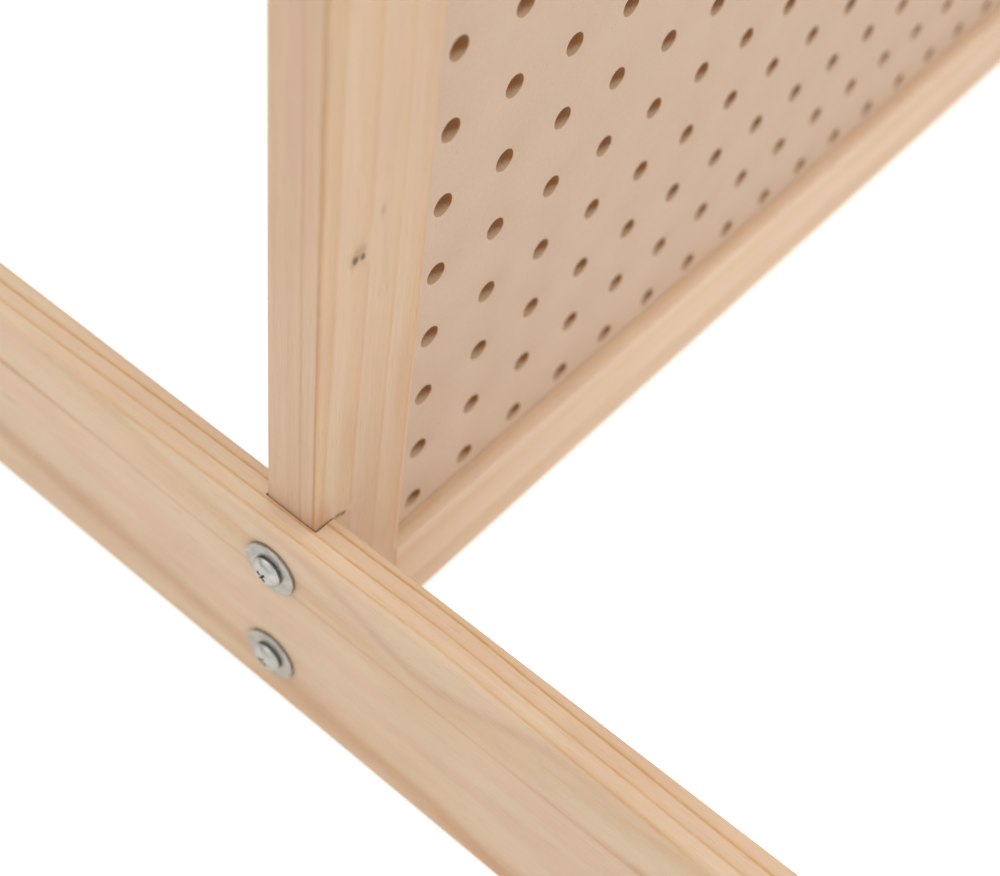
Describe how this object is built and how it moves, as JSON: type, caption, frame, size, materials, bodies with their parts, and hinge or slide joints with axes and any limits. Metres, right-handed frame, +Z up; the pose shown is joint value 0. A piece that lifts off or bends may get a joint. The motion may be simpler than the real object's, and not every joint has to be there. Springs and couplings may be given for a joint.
{
  "type": "pegboard display stand",
  "caption": "Countertop display stand: a perforated board in a grooved softwood frame, held upright by notched feet set on edge and screwed on through wide washers.",
  "frame": {"origin": "middle of the footprint, on the floor", "axes": "+Z up, X along the board's width, Y through the board's thickness with the front facing -Y"},
  "size_m": [0.6378, 0.4064, 0.6096],
  "materials": {
    "foot_wood": "bare planed pine",
    "frame_wood": "bare planed pine",
    "hardboard": "smooth unpainted fibreboard",
    "dowel_wood": "plain hardwood",
    "zinc_steel": "dull zinc plate",
    "brass": "machined"
  },
  "bodies": {
    "root": {"foot_left": "foot_wood", "foot_right": "foot_wood", "stile_left": "frame_wood", "stile_right": "frame_wood", "rail_bottom": "frame_wood", "rail_top": "frame_wood", "pegboard": "hardboard", "foot_screw_left_lower": "zinc_steel", "foot_screw_left_upper": "zinc_steel", "foot_screw_right_lower": "zinc_steel", "foot_screw_right_upper": "zinc_steel", "foot_washer_left_lower": "zinc_steel", "foot_washer_left_upper": "zinc_steel", "foot_washer_right_lower": "zinc_steel", "foot_washer_right_upper": "zinc_steel", "threaded_insert_left_lower": "brass", "threaded_insert_left_upper": "brass", "threaded_insert_right_lower": "brass", "threaded_insert_right_upper": "brass", "corner_dowel_bottom_left_outer": "dowel_wood", "corner_dowel_bottom_left_inner": "dowel_wood", "corner_dowel_bottom_right_outer": "dowel_wood", "corner_dowel_bottom_right_inner": "dowel_wood", "corner_dowel_top_left_outer": "dowel_wood", "corner_dowel_top_left_inner": "dowel_wood", "corner_dowel_top_right_outer": "dowel_wood", "corner_dowel_top_right_inner": "dowel_wood"}
  },
  "joints": []
}
